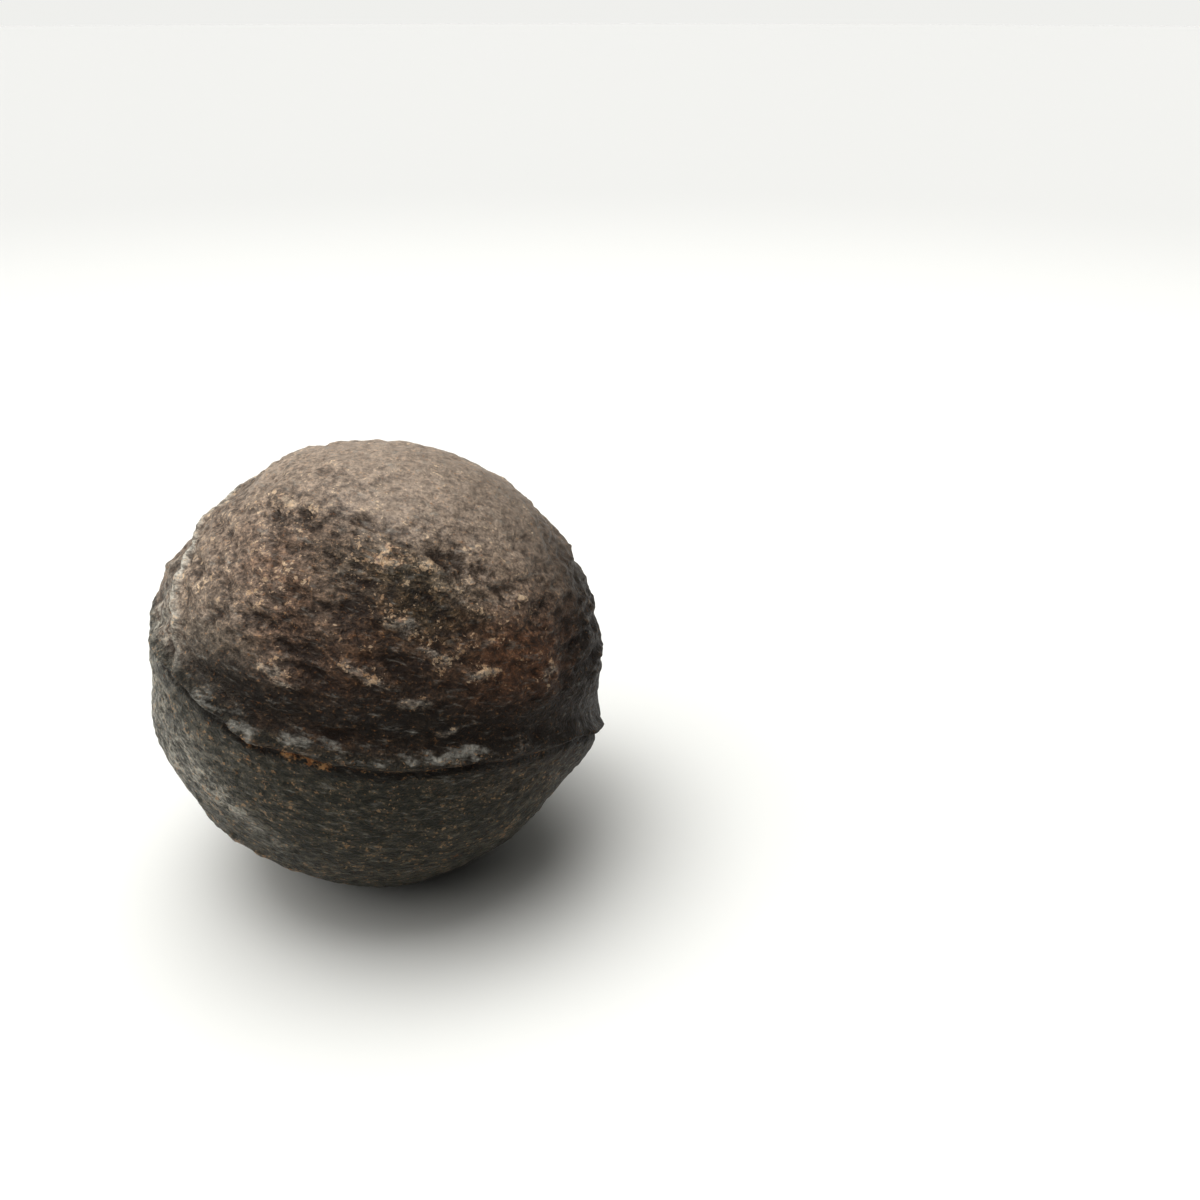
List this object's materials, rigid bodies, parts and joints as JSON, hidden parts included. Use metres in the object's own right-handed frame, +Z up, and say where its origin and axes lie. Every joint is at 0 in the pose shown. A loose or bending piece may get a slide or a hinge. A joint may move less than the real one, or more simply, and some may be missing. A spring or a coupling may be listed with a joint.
{
  "type": "moqui marble",
  "caption": "Round ironstone concretion with a raised lip round its middle and a small flat spot to rest on; a loose natural stone.",
  "frame": {"origin": "the middle of the bottom of the stone's box, on the surface that it rests on", "axes": "+Z up from the flat spot that it rests on; -Y towards the front, the face that the picture shows; +X to the right of it"},
  "size_m": [0.042, 0.0426, 0.0415],
  "materials": {
    "ironstone": "satin"
  },
  "bodies": {
    "root": {"stone": "ironstone"}
  },
  "joints": []
}
